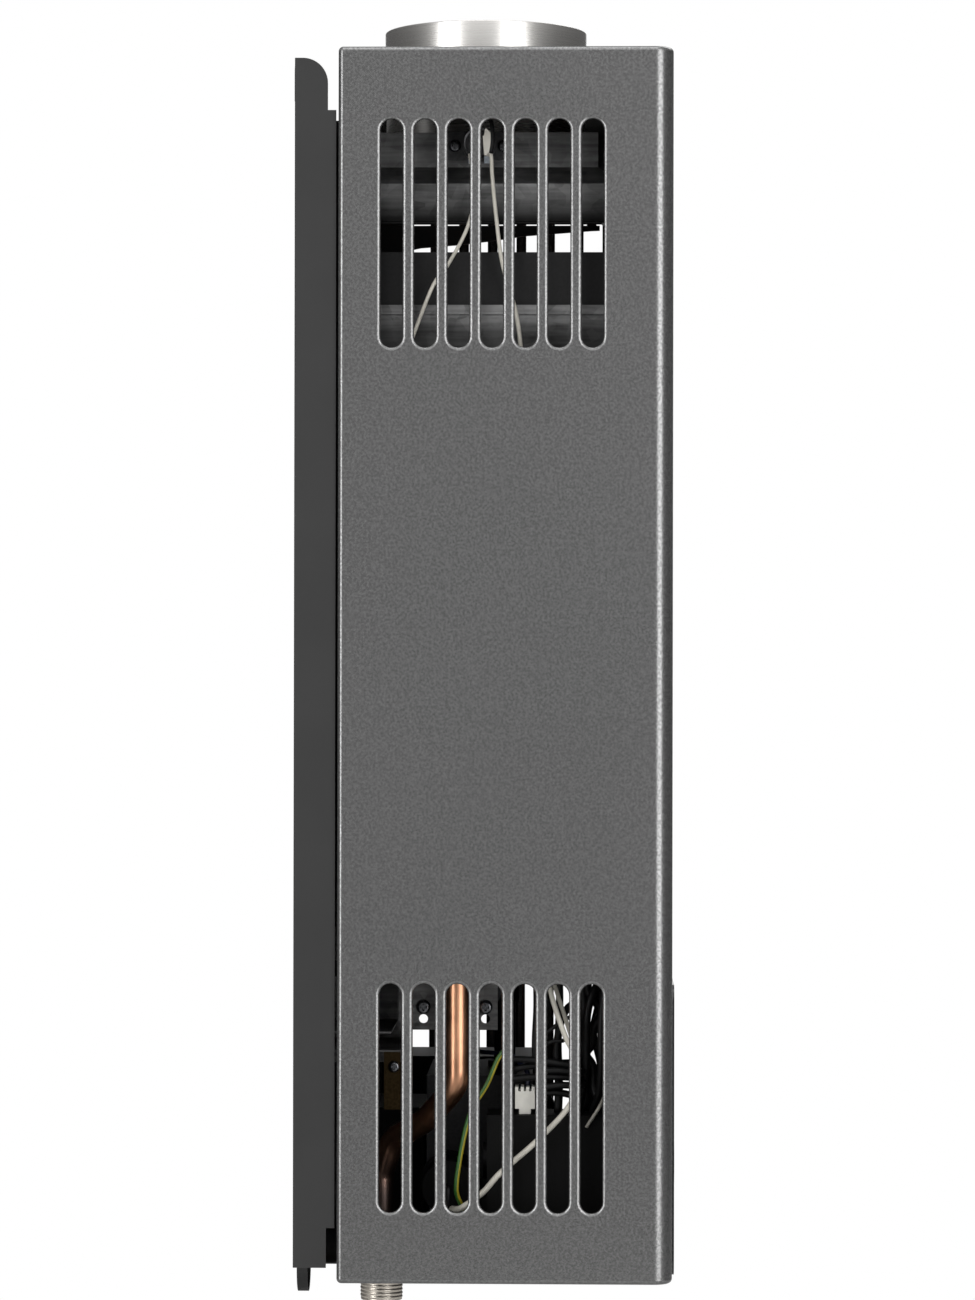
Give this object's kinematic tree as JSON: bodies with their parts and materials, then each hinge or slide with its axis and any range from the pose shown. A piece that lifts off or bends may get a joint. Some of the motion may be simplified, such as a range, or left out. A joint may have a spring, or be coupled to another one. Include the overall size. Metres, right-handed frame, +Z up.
{
  "type": "gas water heater",
  "caption": "Wall-hung open-flue instantaneous gas water heater: slotted grey sheet cover, round flue collar, burner, exchanger, valves, knobs and pipe nipples.",
  "frame": {"origin": "centre of the wall hook's hole in the back plate's top tab, at the wall's surface", "axes": "+X to the right seen from the front, +Y into the wall, +Z up; the front faces -Y"},
  "size_m": [0.35, 0.1922, 0.65],
  "materials": {
    "cover_paint": "fine graphite-grey metallic powder coat",
    "plate_paint": "matt dark grey powder coat",
    "galvanised": "galvanised sheet with a faint spangle",
    "stainless": "satin stainless steel",
    "jacket_black": "matt black heat-proof paint",
    "copper": "dull copper tube",
    "brass": "cast and turned brass",
    "valve_alloy": "die-cast aluminium, dark",
    "zinc": "bright zinc plating",
    "black_plastic": "moulded black plastic",
    "panel_plastic": "gloss black moulded panel",
    "knob_plastic": "satin grey moulded knobs",
    "white_plastic": "natural white plastic",
    "window": "smoked display pane",
    "rubber": "black rubber",
    "ceramic": "white glazed ceramic",
    "lead_white": "white silicone insulation",
    "lead_black": "black silicone insulation",
    "lead_earth": "green and yellow insulation",
    "lead_blue": "dark blue insulation"
  },
  "bodies": {
    "casing": {"back_plate": "plate_paint", "battery_box": "black_plastic", "bottom_plate": "plate_paint", "brass_tab": "brass", "burner_bars": "stainless", "burner_brackets": "galvanised", "burner_frame": "galvanised", "chamber_shields": "galvanised", "cold_inlet_pipe": "copper", "cold_water_pipe": "copper", "combustion_chamber": "galvanised", "control_panel": "panel_plastic", "cover_screws": "zinc", "diaphragm": "rubber", "display_board": "black_plastic", "display_window": "window", "drain_plug": "brass", "earth_lead": "lead_earth", "electrode_bracket": "stainless", "electrode_ceramics": "ceramic", "exchanger_fins": "copper", "exchanger_jacket": "jacket_black", "exchanger_tube": "copper", "exhaust_hood": "galvanised", "flue_collar": "stainless", "front_cover": "cover_paint", "gas_inlet_pipe": "valve_alloy", "gas_manifold": "valve_alloy", "gas_nozzles": "brass", "gas_riser": "valve_alloy", "gas_valve": "valve_alloy", "hood_baffle": "galvanised", "hood_straps": "galvanised", "hot_water_pipe": "copper", "ignition_leads": "lead_black", "ignition_module": "black_plastic", "inner_screws": "zinc", "microswitch": "black_plastic", "module_connector": "white_plastic", "pipe_grommets": "rubber", "rear_bracket": "galvanised", "signal_lead": "lead_blue", "solenoid_valve": "valve_alloy", "switch_bracket": "galvanised", "thermostat_bodies": "ceramic", "thermostat_caps": "zinc", "thermostat_leads": "lead_white", "threaded_nipples": "brass", "union_nuts": "brass", "water_valve_body": "valve_alloy", "water_valve_cover": "valve_alloy"},
    "gas_control": {"gas_knob": "knob_plastic", "gas_spindle": "brass"},
    "water_control": {"water_knob": "knob_plastic", "water_spindle": "brass"},
    "season_control": {"season_knob": "knob_plastic", "season_spindle": "brass"},
    "battery_door": {"battery_door": "black_plastic"},
    "push_rod": {"push_rod": "stainless"},
    "switch_lever": {"switch_lever": "stainless"}
  },
  "joints": [
    {"name": "gas_knob_turn", "type": "hinge", "parent": "casing", "child": "gas_control", "pos_m": [0, -0.19, -0.544], "axis": [0, 1, 0], "range_deg": [0, 135]},
    {"name": "water_knob_turn", "type": "hinge", "parent": "casing", "child": "water_control", "pos_m": [0.09, -0.19, -0.544], "axis": [0, 1, 0], "range_deg": [0, 270]},
    {"name": "season_knob_turn", "type": "hinge", "parent": "casing", "child": "season_control", "pos_m": [-0.09, -0.19, -0.544], "axis": [0, 1, 0], "range_deg": [0, 90]},
    {"name": "battery_door_swing", "type": "hinge", "parent": "casing", "child": "battery_door", "pos_m": [-0.043, -0.0295, -0.5908], "axis": [1, 0, 0], "range_deg": [0, 95]},
    {"name": "push_rod_slide", "type": "slide", "parent": "casing", "child": "push_rod", "axis": [-1, 0, 0], "range_m": [0, 0.003], "stiffness_N_per_m": 400},
    {"name": "switch_lever_turn", "type": "hinge", "parent": "casing", "child": "switch_lever", "pos_m": [0.0375, -0.098, -0.526], "axis": [0, 1, 0], "range_deg": [0, 15]}
  ],
  "couplings": [
    {"joint": "switch_lever_turn", "follows": "push_rod_slide", "rad_per_m": 84.2}
  ]
}
